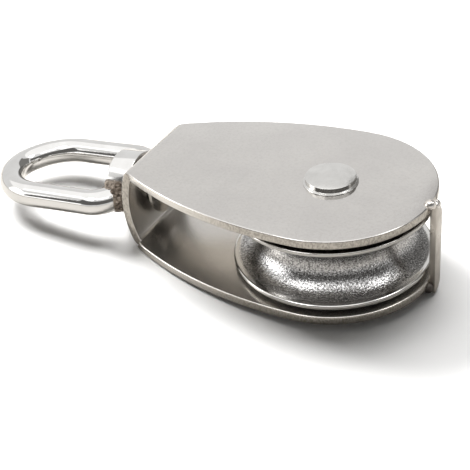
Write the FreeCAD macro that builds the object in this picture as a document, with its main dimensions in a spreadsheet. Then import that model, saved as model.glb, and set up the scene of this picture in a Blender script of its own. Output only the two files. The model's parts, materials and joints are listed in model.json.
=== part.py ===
import FreeCAD, Part
import math
import os
import Sketcher
from FreeCAD import Vector

# Single pulley block with a swivel eye. One sheet strap is folded round a grooved sheave, which
# turns on a riveted axle. A small bar ties the cheeks at the tip, and a bent ring welded to a
# collar swivels on a headed stud in the bridge of the strap.
# Frame: origin at the sheave's centre, +X to the tip, -X to the eye, +Z along the axle. Millimetres.

SIZES = {
    # sheave and its bearing
    "sheave_diameter": 50.0,
    "sheave_width": 16.0,
    "groove_width": 14.0,
    "groove_depth": 7.4,
    "rim_chamfer": 0.25,
    "hub_diameter": 19.0,
    "hub_end_gap": 0.15,
    "bush_diameter": 11.0,
    "axle_diameter": 8.0,
    "axle_clearance": 0.05,
    "press_gap": 0.02,
    # folded strap
    "sheet_thickness": 2.2,
    "cheek_gap": 19.2,
    "cheek_overhang": 0.75,
    "cheek_side_radius": 103.0,
    "cheek_reach": 50.6,
    "cheek_corner_width": 26.3,
    "bridge_reach": 53.8,
    "bridge_width": 25.0,
    "bridge_bow_radius": 28.0,
    "fold_inner_radius": 0.6,
    "edge_chamfer": 0.3,
    # axle rivet
    "head_diameter": 13.5,
    "head_height": 2.3,
    "head_lip": 0.55,
    "head_shoulder_height": 1.6,
    "head_shoulder_diameter": 12.4,
    "tail_diameter": 12.0,
    "tail_height": 1.6,
    "tail_rim": 0.7,
    # tie bar at the tip and its welds
    "tie_width": 4.3,
    "tie_thickness": 1.6,
    "tie_sheave_gap": 0.5,
    "tie_offset": 0.65,
    "tie_foot": 1.7,
    "tie_foot_taper": 0.6,
    "tie_foot_bevel": 1.3,
    "tie_head_drop": 0.6,
    "tie_corner_width": 3.3,
    "tie_corner_height": 4.0,
    "tie_corner_bow_height": 0.8,
    "tie_notch_gap": 0.1,
    "tie_bead_radius": 1.45,
    "tie_bead_sink": 0.2,
    "cap_bead_radius": 1.15,
    "cap_bead_spacing": 0.65,
    "cap_bead_drop": 1.0,
    # swivel stud and collar
    "stud_diameter": 8.0,
    "stud_play": 0.35,
    "stud_head_diameter": 13.8,
    "stud_head_height": 3.3,
    "stud_head_seat": 2.7,
    "stud_head_crown": 1.5,
    "stud_head_under": 11.2,
    "eye_droop": 4.4,
    "collar_diameter": 17.4,
    "collar_length": 7.4,
    "collar_gap": 0.4,
    "collar_chamfer": 0.6,
    # ring and its welds
    "ring_bar_diameter": 6.86,
    "ring_reach": 97.5,
    "ring_stub_length": 1.95,
    "ring_corner_radius": 6.2,
    "ring_shoulder_swell": 2.5,
    "ring_crown_narrowing": 3.0,
    "ring_proud": 0.5,
    "weld_turn": 64.0,
    "weld_start": 1.0,
    "weld_length": 3.2,
    "weld_start_radius": 3.3,
    "weld_end_radius": 4.4,
    "top_bead_radius": 1.2,
    "top_bead_spacing": 1.5,
    "top_bead_rise": 0.5,
}

doc = FreeCAD.newDocument("SinglePulley")
sheet = doc.addObject("Spreadsheet::Sheet", "Sizes")
for row, (alias, value) in enumerate(SIZES.items(), start=1):
    sheet.set("A%d" % row, alias)
    sheet.set("B%d" % row, str(value))
    sheet.setAlias("B%d" % row, alias)
doc.recompute()

# Lengths that several pieces share, as formulas on the sheet.
SHEAVE_R = "Sizes.sheave_diameter / 2"
CHEEK_END_R = "(Sizes.sheave_diameter / 2 + Sizes.cheek_overhang)"
GAP_HALF = "Sizes.cheek_gap / 2"
BLOCK_HALF = "(Sizes.cheek_gap / 2 + Sizes.sheet_thickness)"
HUB_HALF = "(Sizes.cheek_gap / 2 - Sizes.hub_end_gap)"
AXLE_R = "Sizes.axle_diameter / 2"
TIE_FACE = "(Sizes.sheave_diameter / 2 + Sizes.tie_sheave_gap)"
BAR_MIDDLE = "(Sizes.sheave_diameter / 2 + Sizes.tie_sheave_gap + Sizes.tie_thickness / 2)"
BAR_EDGE = "(Sizes.tie_offset - Sizes.tie_width / 2)"
COLLAR_FACE = "(Sizes.sheet_thickness / 2 + Sizes.collar_gap)"
COLLAR_END = "(Sizes.sheet_thickness / 2 + Sizes.collar_gap + Sizes.collar_length)"
RING_LINE = "(%s + Sizes.ring_proud - Sizes.ring_bar_diameter / 2)" % COLLAR_END
RING_START = "(Sizes.collar_diameter / 4)"
RING_HALF = "(%s + Sizes.ring_stub_length + Sizes.ring_corner_radius)" % RING_START
SHOULDER_R = "(%s + Sizes.ring_shoulder_swell)" % RING_HALF
CROWN_R = "(%s - Sizes.ring_crown_narrowing)" % RING_HALF
SWIVEL_X = "(Sizes.bridge_reach - Sizes.sheet_thickness / 2)"
EYE_PLACE = "placement(vector(-%s; 0; 0); rotation(vector(0; 1; 0); -Sizes.eye_droop))" % SWIVEL_X


def value_of(formula):
    return float(sheet.evalExpression(formula.replace("Sizes.", "")))


def new_body(label):
    body = doc.addObject("PartDesign::Body", label)
    body.Label = label
    return body


def new_sketch(body, label, plane, offset=None):
    # A sketch on one of the body's own planes; offset is a formula along the plane's normal.
    sketch = body.newObject("Sketcher::SketchObject", label)
    support = [item for item in body.Origin.OriginFeatures if item.Role == plane][0]
    sketch.AttachmentSupport = [(support, "")]
    sketch.MapMode = "FlatFace"
    if offset:
        sketch.setExpression("AttachmentOffset.Base.z", offset)
    doc.recompute()
    return sketch


def add_line(sketch, start, end):
    return sketch.addGeometry(Part.LineSegment(Vector(*start, 0), Vector(*end, 0)), False)


def add_arc(sketch, centre, radius, start, end):
    # Counter-clockwise from the start angle to the end angle, in degrees.
    circle = Part.Circle(Vector(*centre, 0), Vector(0, 0, 1), radius)
    return sketch.addGeometry(Part.ArcOfCircle(circle, math.radians(start), math.radians(end)), False)


def relate(sketch, kind, *places):
    sketch.addConstraint(Sketcher.Constraint(kind, *places))


def dimension(sketch, kind, places, formula):
    value = value_of(formula)
    index = sketch.addConstraint(Sketcher.Constraint(kind, *places, value))
    name = "%s%d" % (kind, index)
    sketch.renameConstraint(index, name)
    sketch.setExpression("Constraints." + name, formula)


def fix_point(sketch, place, x, y):
    # Places a point by two formulas; a formula of "0" puts it on the axis instead.
    for kind, formula, axis in (("DistanceX", x, -2), ("DistanceY", y, -1)):
        if formula == "0":
            relate(sketch, "PointOnObject", place[0], place[1], axis)
        else:
            dimension(sketch, kind, (-1, 1) + place, formula)


def bowed_middle(start, end, bulge):
    # The middle of an arc that bulges to the left of the way from start to end.
    run = math.hypot(end[0] - start[0], end[1] - start[1])
    return ((start[0] + end[0]) / 2 - (end[1] - start[1]) / run * bulge,
            (start[1] + end[1]) / 2 + (end[0] - start[0]) / run * bulge)


def domed_middle(start, end, along):
    # The middle of an arc whose centre lies on axis number along, 0 for X and 1 for Y.
    across = 1 - along
    centre = [0.0, 0.0]
    centre[along] = ((start[along] ** 2 + start[across] ** 2 - end[along] ** 2 - end[across] ** 2)
                     / (2 * (start[along] - end[along])))
    radius = math.hypot(start[0] - centre[0], start[1] - centre[1])
    way = ((start[0] + end[0]) / 2 - centre[0], (start[1] + end[1]) / 2 - centre[1])
    stretch = radius / math.hypot(*way)
    return (centre[0] + way[0] * stretch, centre[1] + way[1] * stretch)


def draw_profile(sketch, corners, bows=None, domes=None):
    # A closed outline through corners given as pairs of formulas. An edge in bows is an arc that
    # bulges by its formula; an edge in domes is an arc with its centre on the given axis.
    bows = bows or {}
    domes = domes or {}
    points = [(value_of(x), value_of(y)) for x, y in corners]
    edges = []
    for index, start in enumerate(points):
        end = points[(index + 1) % len(points)]
        if index in bows:
            middle = bowed_middle(start, end, value_of(bows[index]))
        elif index in domes:
            middle = domed_middle(start, end, domes[index])
        else:
            edges.append(add_line(sketch, start, end))
            continue
        curve = Part.Arc(Vector(*start, 0), Vector(*middle, 0), Vector(*end, 0))
        edges.append(sketch.addGeometry(curve, False))
    ends = []
    for index, edge in enumerate(edges):
        first = sketch.getPoint(edge, 1)
        turned = math.hypot(first.x - points[index][0], first.y - points[index][1]) > 1e-6
        ends.append((2, 1) if turned else (1, 2))
    for index, edge in enumerate(edges):
        following = (index + 1) % len(edges)
        relate(sketch, "Coincident", edge, ends[index][1], edges[following], ends[following][0])
    for index, edge in enumerate(edges):
        fix_point(sketch, (edge, ends[index][0]), *corners[index])
        if index in bows:
            (x1, y1), (x2, y2) = corners[index], corners[(index + 1) % len(corners)]
            chord = "((%s - (%s))^2 + (%s - (%s))^2)" % (x2, x1, y2, y1)
            rise = "abs(%s)" % bows[index]
            dimension(sketch, "Radius", (edge,), "(%s / 4 + %s^2) / (2 * %s)" % (chord, rise, rise))
        if index in domes:
            relate(sketch, "PointOnObject", edge, 3, (-1, -2)[domes[index]])


def pad(body, label, sketch, length, centred=False):
    feature = body.newObject("PartDesign::Pad", label)
    feature.Profile = sketch
    feature.setExpression("Length", length)
    feature.SideType = "Symmetric" if centred else "One side"
    doc.recompute()
    return feature


def cut_through(body, label, sketch, reverse=False, both_ways=False):
    # Cuts through everything on one side of the sketch, or on both.
    before = body.Shape.Volume
    feature = body.newObject("PartDesign::Pocket", label)
    feature.Profile = sketch
    feature.Type = "ThroughAll"
    feature.SideType = "Symmetric" if both_ways else "One side"
    feature.Reversed = reverse
    doc.recompute()
    if body.Shape.Volume >= before - 1e-6:
        raise RuntimeError(label + " removes nothing")
    return feature


def revolve(body, label, sketch, axis):
    feature = body.newObject("PartDesign::Revolution", label)
    feature.Profile = sketch
    feature.ReferenceAxis = (sketch, [axis])
    feature.Angle = 360.0
    doc.recompute()
    return feature


def break_edges(body, label, size, wanted):
    # Takes the sharpness off every edge of the body's tip that wanted(edge) picks.
    base = body.Tip
    names = ["Edge%d" % (n + 1) for n, edge in enumerate(base.Shape.Edges) if wanted(edge)]
    feature = body.newObject("PartDesign::Chamfer", label)
    feature.Base = (base, names)
    feature.setExpression("Size", size)
    doc.recompute()
    return feature


def is_round(edge, radius):
    return isinstance(edge.Curve, Part.Circle) and abs(edge.Curve.Radius - radius) < 1e-4


def make_strap():
    # Side view of the fold: cheek, tight fold, bowed bridge, tight fold, cheek, one sheet thick.
    half = value_of(BLOCK_HALF)
    inner_half = value_of(GAP_HALF)
    thick = value_of("Sizes.sheet_thickness")
    fold = value_of("Sizes.fold_inner_radius")
    bow = value_of("Sizes.bridge_bow_radius")
    bow_x = bow - value_of("Sizes.bridge_reach")
    tip = value_of(CHEEK_END_R + " + 1")
    rise = inner_half - fold
    fold_x = bow_x - math.sqrt((bow - thick - fold) ** 2 - rise ** 2)
    lean = math.degrees(math.atan2(rise, bow_x - fold_x))

    body = new_body("side_strap")
    side = new_sketch(body, "StrapSide", "XZ_Plane")
    top = add_line(side, (tip, half), (fold_x, half))
    fold_up = add_arc(side, (fold_x, rise), fold + thick, 90, 180 - lean)
    bridge = add_arc(side, (bow_x, 0), bow, 180 - lean, 180 + lean)
    fold_low = add_arc(side, (fold_x, -rise), fold + thick, 180 + lean, 270)
    bottom = add_line(side, (fold_x, -half), (tip, -half))
    end_low = add_line(side, (tip, -half), (tip, -inner_half))
    floor = add_line(side, (tip, -inner_half), (fold_x, -inner_half))
    in_low = add_arc(side, (fold_x, -rise), fold, 180 + lean, 270)
    in_bridge = add_arc(side, (bow_x, 0), bow - thick, 180 - lean, 180 + lean)
    in_up = add_arc(side, (fold_x, rise), fold, 90, 180 - lean)
    roof = add_line(side, (fold_x, inner_half), (tip, inner_half))
    end_up = add_line(side, (tip, inner_half), (tip, half))
    for first, first_end, second, second_end in (
            (top, 2, fold_up, 1), (fold_up, 2, bridge, 1), (bridge, 2, fold_low, 1),
            (fold_low, 2, bottom, 1), (floor, 2, in_low, 2), (in_low, 1, in_bridge, 2),
            (in_bridge, 1, in_up, 2), (in_up, 1, roof, 1)):
        relate(side, "Tangent", first, first_end, second, second_end)
    for first, first_end, second, second_end in (
            (bottom, 2, end_low, 1), (end_low, 2, floor, 1), (roof, 2, end_up, 1), (end_up, 2, top, 1)):
        relate(side, "Coincident", first, first_end, second, second_end)
    for line in (top, bottom, floor, roof):
        relate(side, "Horizontal", line)
    for line in (end_low, end_up):
        relate(side, "Vertical", line)
    relate(side, "Coincident", in_up, 3, fold_up, 3)
    relate(side, "Coincident", in_low, 3, fold_low, 3)
    relate(side, "Coincident", in_bridge, 3, bridge, 3)
    relate(side, "PointOnObject", bridge, 3, -1)
    relate(side, "Symmetric", fold_up, 3, fold_low, 3, -1)
    relate(side, "Vertical", top, 1, bottom, 2)
    dimension(side, "Radius", (bridge,), "Sizes.bridge_bow_radius")
    dimension(side, "DistanceX", (bridge, 3, -1, 1), "Sizes.bridge_reach - Sizes.bridge_bow_radius")
    dimension(side, "Radius", (in_up,), "Sizes.fold_inner_radius")
    dimension(side, "DistanceX", (-1, 1, top, 1), CHEEK_END_R + " + 1")
    dimension(side, "DistanceY", (-1, 1, top, 1), BLOCK_HALF)
    dimension(side, "DistanceY", (roof, 2, top, 1), "Sizes.sheet_thickness")
    pad(body, "FoldedBlank", side, "2 * %s + 4" % CHEEK_END_R, centred=True)

    # Plan view of the blank, and a cut that takes away everything outside it.
    end = value_of(CHEEK_END_R)
    flank = value_of("Sizes.cheek_side_radius")
    reach = value_of("Sizes.cheek_reach")
    corner = value_of("Sizes.cheek_corner_width / 2")
    narrow = value_of("Sizes.bridge_width / 2")
    outer_x = value_of("Sizes.bridge_reach + 1")
    # The flank's centre lies flank - end from the axle and flank from the corner.
    span = math.hypot(reach, corner)
    near = flank - end
    along = (near ** 2 - flank ** 2 + span ** 2) / (2 * span)
    across = math.sqrt(near ** 2 - along ** 2)
    to_corner = math.atan2(corner, -reach)
    flank_x = along * math.cos(to_corner) + across * math.cos(to_corner + math.pi / 2)
    flank_y = along * math.sin(to_corner) + across * math.sin(to_corner + math.pi / 2)
    meet = math.degrees(math.atan2(-flank_y, -flank_x))
    turn = math.degrees(math.atan2(corner - flank_y, -reach - flank_x))

    plan = new_sketch(body, "BlankOutline", "XY_Plane")
    nose = add_arc(plan, (0, 0), end, -meet, meet)
    far = add_arc(plan, (flank_x, flank_y), flank, meet, turn)
    step_far = add_line(plan, (-reach, corner), (-reach, narrow))
    side_far = add_line(plan, (-reach, narrow), (-outer_x, narrow))
    back = add_line(plan, (-outer_x, narrow), (-outer_x, -narrow))
    side_near = add_line(plan, (-outer_x, -narrow), (-reach, -narrow))
    step_near = add_line(plan, (-reach, -narrow), (-reach, -corner))
    near_flank = add_arc(plan, (flank_x, -flank_y), flank, -turn, -meet)
    relate(plan, "Tangent", nose, 2, far, 1)
    relate(plan, "Tangent", nose, 1, near_flank, 2)
    for first, first_end, second, second_end in (
            (far, 2, step_far, 1), (step_far, 2, side_far, 1), (side_far, 2, back, 1),
            (back, 2, side_near, 1), (side_near, 2, step_near, 1), (step_near, 2, near_flank, 1)):
        relate(plan, "Coincident", first, first_end, second, second_end)
    relate(plan, "Vertical", step_far)
    relate(plan, "Vertical", step_near)
    relate(plan, "Horizontal", side_far)
    relate(plan, "Horizontal", side_near)
    relate(plan, "Coincident", nose, 3, -1, 1)
    relate(plan, "Equal", far, near_flank)
    relate(plan, "Symmetric", far, 2, near_flank, 1, -1)
    relate(plan, "Symmetric", back, 1, back, 2, -1)
    dimension(plan, "Radius", (nose,), CHEEK_END_R)
    dimension(plan, "Radius", (far,), "Sizes.cheek_side_radius")
    dimension(plan, "DistanceX", (far, 2, -1, 1), "Sizes.cheek_reach")
    dimension(plan, "DistanceY", (-1, 1, far, 2), "Sizes.cheek_corner_width / 2")
    dimension(plan, "DistanceY", (-1, 1, back, 1), "Sizes.bridge_width / 2")
    dimension(plan, "DistanceX", (back, 1, -1, 1), "Sizes.bridge_reach + 1")
    frame_x = "2 * Sizes.cheek_reach"
    frame_y = "2 * " + CHEEK_END_R
    draw_profile(plan, [("-" + frame_x, "-" + frame_y), (frame_x, "-" + frame_y),
                        (frame_x, frame_y), ("-" + frame_x, frame_y)])
    cut_through(body, "TrimToOutline", plan, both_ways=True)
    outline = (value_of(CHEEK_END_R), value_of("Sizes.cheek_side_radius"))
    break_edges(body, "CheekEdges", "Sizes.edge_chamfer",
                lambda edge: any(is_round(edge, radius) for radius in outline))

    # Holes for the axle through both cheeks and for the stud through the bridge.
    axle = new_sketch(body, "AxleHole", "XY_Plane")
    hole = axle.addGeometry(Part.Circle(Vector(0, 0, 0), Vector(0, 0, 1), value_of(AXLE_R)), False)
    relate(axle, "Coincident", hole, 3, -1, 1)
    dimension(axle, "Radius", (hole,), AXLE_R + " + Sizes.press_gap")
    cut_through(body, "AxleHoles", axle, both_ways=True)
    stud = new_sketch(body, "StudHole", "YZ_Plane")
    hole = stud.addGeometry(Part.Circle(Vector(0, 0, 0), Vector(0, 0, 1),
                                        value_of("Sizes.stud_diameter / 2")), False)
    relate(stud, "Coincident", hole, 3, -1, 1)
    dimension(stud, "Radius", (hole,), "Sizes.stud_diameter / 2 + Sizes.stud_play")
    cut_through(body, "StudHoleCut", stud)

    # Shallow flats at both tips, where the tie bar sits.
    notch = new_sketch(body, "TieNotch", "XY_Plane")
    low = "(Sizes.tie_offset - Sizes.tie_width / 2 - Sizes.tie_notch_gap)"
    high = "(Sizes.tie_offset + Sizes.tie_width / 2 + Sizes.tie_notch_gap)"
    beyond = "(%s + 5)" % CHEEK_END_R
    draw_profile(notch, [(TIE_FACE, low), (beyond, low), (beyond, high), (TIE_FACE, high)])
    cut_through(body, "TieNotches", notch, both_ways=True)
    return body


def make_sheave():
    # Half section of the wheel: bore, hub, flat side, rim, round groove and back.
    body = new_body("sheave")
    bore = "(Sizes.bush_diameter / 2 + Sizes.press_gap)"
    hub = "Sizes.hub_diameter / 2"
    width = "Sizes.sheave_width / 2"
    groove = "Sizes.groove_width / 2"
    sketch = new_sketch(body, "SheaveSection", "XZ_Plane")
    draw_profile(sketch, [
        (bore, "-" + HUB_HALF), (hub, "-" + HUB_HALF), (hub, "-" + width), (SHEAVE_R, "-" + width),
        (SHEAVE_R, "-" + groove), (SHEAVE_R, groove), (SHEAVE_R, width), (hub, width),
        (hub, HUB_HALF), (bore, HUB_HALF)], {4: "Sizes.groove_depth"})
    revolve(body, "SheaveTurned", sketch, "V_Axis")
    radius = value_of(SHEAVE_R)
    break_edges(body, "RimEdges", "Sizes.rim_chamfer", lambda edge: is_round(edge, radius))
    return body


def make_tube(label, inner, outer, low, high):
    body = new_body(label)
    sketch = new_sketch(body, label.title().replace("_", "") + "Section", "XZ_Plane")
    draw_profile(sketch, [(inner, low), (outer, low), (outer, high), (inner, high)])
    revolve(body, label.title().replace("_", "") + "Turned", sketch, "V_Axis")
    return body


def make_axle_rivet():
    # Formed head with a thin lip above the upper cheek, shank, and a flatter peened tail below.
    body = new_body("axle_rivet")
    sketch = new_sketch(body, "RivetSection", "XZ_Plane")
    head = "Sizes.head_diameter / 2"
    shoulder = "Sizes.head_shoulder_diameter / 2"
    tail = "Sizes.tail_diameter / 2"
    draw_profile(sketch, [
        ("0", "-(%s + Sizes.tail_height)" % BLOCK_HALF),
        (tail, "-(%s + Sizes.tail_rim)" % BLOCK_HALF),
        (tail, "-" + BLOCK_HALF),
        (AXLE_R, "-" + BLOCK_HALF),
        (AXLE_R, BLOCK_HALF),
        (head, BLOCK_HALF),
        (head, BLOCK_HALF + " + Sizes.head_lip"),
        (shoulder, BLOCK_HALF + " + Sizes.head_shoulder_height"),
        ("0", BLOCK_HALF + " + Sizes.head_height"),
    ], domes={0: 1, 7: 1})
    revolve(body, "RivetTurned", sketch, "V_Axis")
    return body


def make_tie_bar():
    # Flat bar across both tips, with one rounded top corner and a foot below the lower cheek.
    body = new_body("tie_bar")
    sketch = new_sketch(body, "TieFace", "YZ_Plane", TIE_FACE)
    low = "(Sizes.tie_offset - Sizes.tie_width / 2)"
    high = "(Sizes.tie_offset + Sizes.tie_width / 2)"
    foot = "-(%s + Sizes.tie_foot)" % BLOCK_HALF
    head = "(%s - Sizes.tie_head_drop)" % BLOCK_HALF
    bevel = "Sizes.tie_foot_bevel"
    draw_profile(sketch, [
        (low, foot), ("%s - Sizes.tie_foot_taper - %s" % (high, bevel), foot),
        (high + " - Sizes.tie_foot_taper", "%s + %s" % (foot, bevel)),
        (high, head + " - Sizes.tie_corner_height"),
        (high + " - Sizes.tie_corner_width", head), (low, head),
    ], {3: "-Sizes.tie_corner_bow_height"})
    pad(body, "TieBarPad", sketch, "Sizes.tie_thickness")
    return body


def make_weld(label, lumps, neighbours):
    # Lumps of weld run together, less what the neighbours already fill.
    piece = lumps[0]
    if len(lumps) > 1:
        piece = doc.addObject("Part::MultiFuse", label + "_run")
        piece.Shapes = lumps
    for number, neighbour in enumerate(neighbours):
        cut = doc.addObject("Part::Cut", "%s_cut%d" % (label, number))
        cut.Base = piece
        cut.Tool = neighbour
        piece = cut
    piece.Label = label
    doc.recompute()
    return piece


def add_bead(name, radius, place, carrier=""):
    # A ball of weld with its poles along X; place is three formulas, in the frame of the carrier
    # placement if there is one.
    bead = doc.addObject("Part::Sphere", name)
    bead.setExpression("Radius", radius)
    bead.setExpression("Placement", "%splacement(vector(%s; %s; %s); rotation(vector(0; 1; 0); 90))"
                       % ((carrier,) + place))
    return bead


def make_tie_weld_upper(neighbours):
    # One bead on the cheek beside the bar, and two that cap the bar's end.
    beads = [add_bead("BesideBead", "Sizes.tie_bead_radius",
                      (TIE_FACE, BAR_EDGE, BLOCK_HALF + " - Sizes.tie_bead_sink"))]
    for step in range(2):
        beads.append(add_bead("CapBead%d" % step, "Sizes.cap_bead_radius",
                              (BAR_MIDDLE, "Sizes.tie_offset - %d * Sizes.cap_bead_spacing" % step,
                               BLOCK_HALF + " - Sizes.cap_bead_drop")))
    return make_weld("tie_weld_upper", beads, neighbours)


def make_tie_weld_lower(neighbours):
    # One bead in the corner between the lower cheek and the side of the bar's foot.
    root = add_bead("RootBead", "Sizes.tie_bead_radius",
                    (TIE_FACE, BAR_EDGE + " - Sizes.tie_bead_sink",
                     "-%s - Sizes.tie_bead_sink" % BLOCK_HALF))
    return make_weld("tie_weld_lower", [root], neighbours)


def make_stud():
    # Turned about the swivel axis: flush outer end, shank through collar and bridge, inner head.
    body = new_body("swivel_stud")
    sketch = new_sketch(body, "StudSection", "XZ_Plane")
    shank = "Sizes.stud_diameter / 2"
    head = "Sizes.stud_head_diameter / 2"
    seat = "Sizes.stud_head_seat"
    top = "(Sizes.stud_head_seat + Sizes.stud_head_height)"
    rim = "(Sizes.stud_head_seat + Sizes.stud_head_height - Sizes.stud_head_crown)"
    draw_profile(sketch, [
        ("-" + COLLAR_END, "0"), (top, "0"), (rim, head),
        ("(%s + (%s - %s) / 2)" % (seat, rim, seat), head),
        (seat, "Sizes.stud_head_under / 2"), (seat, shank), ("-" + COLLAR_END, shank),
    ], domes={1: 0})
    revolve(body, "StudTurned", sketch, "H_Axis")
    body.setExpression("Placement", EYE_PLACE)
    return body


def make_collar():
    body = new_body("swivel_collar")
    sketch = new_sketch(body, "CollarSection", "XZ_Plane")
    bore = "(Sizes.stud_diameter / 2 + Sizes.press_gap)"
    outer = "Sizes.collar_diameter / 2"
    edge = "Sizes.collar_chamfer"
    draw_profile(sketch, [
        ("-" + COLLAR_END, bore), ("-" + COLLAR_FACE, bore),
        ("-" + COLLAR_FACE, "%s - %s" % (outer, edge)),
        ("-(%s + %s)" % (COLLAR_FACE, edge), outer), ("-(%s - %s)" % (COLLAR_END, edge), outer),
        ("-" + COLLAR_END, "%s - %s" % (outer, edge)),
    ])
    revolve(body, "CollarTurned", sketch, "H_Axis")
    body.setExpression("Placement", EYE_PLACE)
    return body


def make_ring():
    # One round bar: from the collar out round a corner, along a leg, round the crown and back.
    body = new_body("eye_ring")
    line_x = -value_of(RING_LINE)
    half = value_of(RING_HALF)
    corner = value_of("Sizes.ring_corner_radius")
    shoulder = value_of(SHOULDER_R)
    crown = value_of(CROWN_R)
    crown_x = -(value_of("Sizes.ring_reach") - value_of(SWIVEL_X) - crown)
    lean = math.acos((shoulder - half) / (shoulder - crown))
    shoulder_x = crown_x + (shoulder - crown) * math.sin(lean)
    lean = math.degrees(lean)
    start = value_of(RING_START)

    path = new_sketch(body, "RingPath", "XY_Plane")
    stub_near = add_line(path, (line_x, -start), (line_x, corner - half))
    bend_near = add_arc(path, (line_x - corner, corner - half), corner, -90, 0)
    leg_near = add_line(path, (line_x - corner, -half), (shoulder_x, -half))
    shoulder_near = add_arc(path, (shoulder_x, shoulder - half), shoulder, 270 - lean, 270)
    crown_arc = add_arc(path, (crown_x, 0), crown, 90 + lean, 270 - lean)
    shoulder_far = add_arc(path, (shoulder_x, half - shoulder), shoulder, 90, 90 + lean)
    leg_far = add_line(path, (shoulder_x, half), (line_x - corner, half))
    bend_far = add_arc(path, (line_x - corner, half - corner), corner, 0, 90)
    stub_far = add_line(path, (line_x, half - corner), (line_x, start))
    for first, first_end, second, second_end in (
            (stub_near, 2, bend_near, 2), (bend_near, 1, leg_near, 1),
            (leg_near, 2, shoulder_near, 2), (shoulder_near, 1, crown_arc, 2),
            (crown_arc, 1, shoulder_far, 2), (shoulder_far, 1, leg_far, 1),
            (leg_far, 2, bend_far, 2), (bend_far, 1, stub_far, 1)):
        relate(path, "Tangent", first, first_end, second, second_end)
    relate(path, "Vertical", stub_near)
    relate(path, "Vertical", stub_far)
    relate(path, "Horizontal", leg_near)
    relate(path, "Horizontal", leg_far)
    relate(path, "Equal", bend_near, bend_far)
    relate(path, "Equal", shoulder_near, shoulder_far)
    relate(path, "PointOnObject", crown_arc, 3, -1)
    dimension(path, "Radius", (bend_near,), "Sizes.ring_corner_radius")
    dimension(path, "Radius", (shoulder_near,), SHOULDER_R)
    dimension(path, "Radius", (crown_arc,), CROWN_R)
    dimension(path, "DistanceY", (leg_near, 1, -1, 1), RING_HALF)
    dimension(path, "DistanceY", (-1, 1, leg_far, 1), RING_HALF)
    dimension(path, "DistanceX", (crown_arc, 3, -1, 1),
              "Sizes.ring_reach - %s - %s" % (SWIVEL_X, CROWN_R))
    dimension(path, "DistanceX", (stub_near, 1, -1, 1), RING_LINE)
    dimension(path, "DistanceX", (stub_far, 2, -1, 1), RING_LINE)
    dimension(path, "DistanceY", (stub_near, 1, -1, 1), RING_START)
    dimension(path, "DistanceY", (-1, 1, stub_far, 2), RING_START)

    section = new_sketch(body, "RingSection", "XZ_Plane", RING_START)
    circle = section.addGeometry(Part.Circle(Vector(line_x, 0, 0), Vector(0, 0, 1),
                                             value_of("Sizes.ring_bar_diameter / 2")), False)
    dimension(section, "Radius", (circle,), "Sizes.ring_bar_diameter / 2")
    dimension(section, "DistanceX", (circle, 3, -1, 1), RING_LINE)
    relate(section, "PointOnObject", circle, 3, -1)
    pipe = body.newObject("PartDesign::AdditivePipe", "BentBar")
    pipe.Profile = section
    pipe.Spine = path
    doc.recompute()

    # Both ends are shaped to the round of the collar.
    cope = new_sketch(body, "CollarCope", "YZ_Plane", "-" + RING_LINE)
    circle = cope.addGeometry(Part.Circle(Vector(0, 0, 0), Vector(0, 0, 1), 1.0), False)
    relate(cope, "Coincident", circle, 3, -1, 1)
    dimension(cope, "Radius", (circle,), "Sizes.collar_diameter / 2 + Sizes.press_gap")
    before = body.Shape.Volume
    cut = body.newObject("PartDesign::Pocket", "CopedEnds")
    cut.Profile = cope
    cut.SideType = "Symmetric"
    cut.setExpression("Length", "2 * Sizes.ring_bar_diameter")
    doc.recompute()
    if body.Shape.Volume >= before - 1e-6:
        raise RuntimeError("the ring's ends are not shaped")
    body.setExpression("Placement", EYE_PLACE)
    return body


def make_ring_weld(label, side, neighbours):
    # Weld that flares from the end of the bent bar onto the collar, with a row of beads on top.
    corner = "Sizes.ring_corner_radius"
    turn = "Sizes.weld_turn"
    x = "%s * sin(%s) - %s - %s" % (corner, turn, corner, RING_LINE)
    y = "%d * (%s - %s + %s * cos(%s))" % (side, RING_HALF, corner, corner, turn)
    flare = doc.addObject("Part::Cone", label + "_flare")
    flare.setExpression("Radius1", "Sizes.weld_start_radius")
    flare.setExpression("Radius2", "Sizes.weld_end_radius")
    flare.setExpression("Height", "Sizes.weld_length")
    flare.setExpression("Placement", " * ".join((
        EYE_PLACE,
        "placement(vector(%s; %s; 0); rotation(vector(0; 0; 1); %d * %s))" % (x, y, -side, turn),
        "placement(vector(-Sizes.weld_start; 0; 0); rotation(vector(0; 1; 0); 90))")))
    lumps = [flare]
    for step in range(3):
        lumps.append(add_bead("%s_bead%d" % (label, step), "Sizes.top_bead_radius", (
            "-%s + %d * Sizes.top_bead_spacing" % (RING_LINE, step - 1),
            "%d * (Sizes.collar_diameter / 2 - Sizes.top_bead_rise)" % side,
            "Sizes.ring_bar_diameter / 2 + Sizes.top_bead_rise"), EYE_PLACE + " * "))
    return make_weld(label, lumps, neighbours)


strap = make_strap()
sheave = make_sheave()
bush = make_tube("sheave_bush", "(%s + Sizes.axle_clearance)" % AXLE_R, "Sizes.bush_diameter / 2",
                 "-" + HUB_HALF, HUB_HALF)
rivet = make_axle_rivet()
tie_bar = make_tie_bar()
upper_weld = make_tie_weld_upper((strap, tie_bar))
lower_weld = make_tie_weld_lower((strap, tie_bar))
collar = make_collar()
stud = make_stud()
ring = make_ring()
near_weld = make_ring_weld("ring_weld_near", -1, (collar, ring))
far_weld = make_ring_weld("ring_weld_far", 1, (collar, ring))
pieces = [strap, sheave, bush, rivet, tie_bar, upper_weld, lower_weld, collar, stud, ring,
          near_weld, far_weld]

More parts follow.
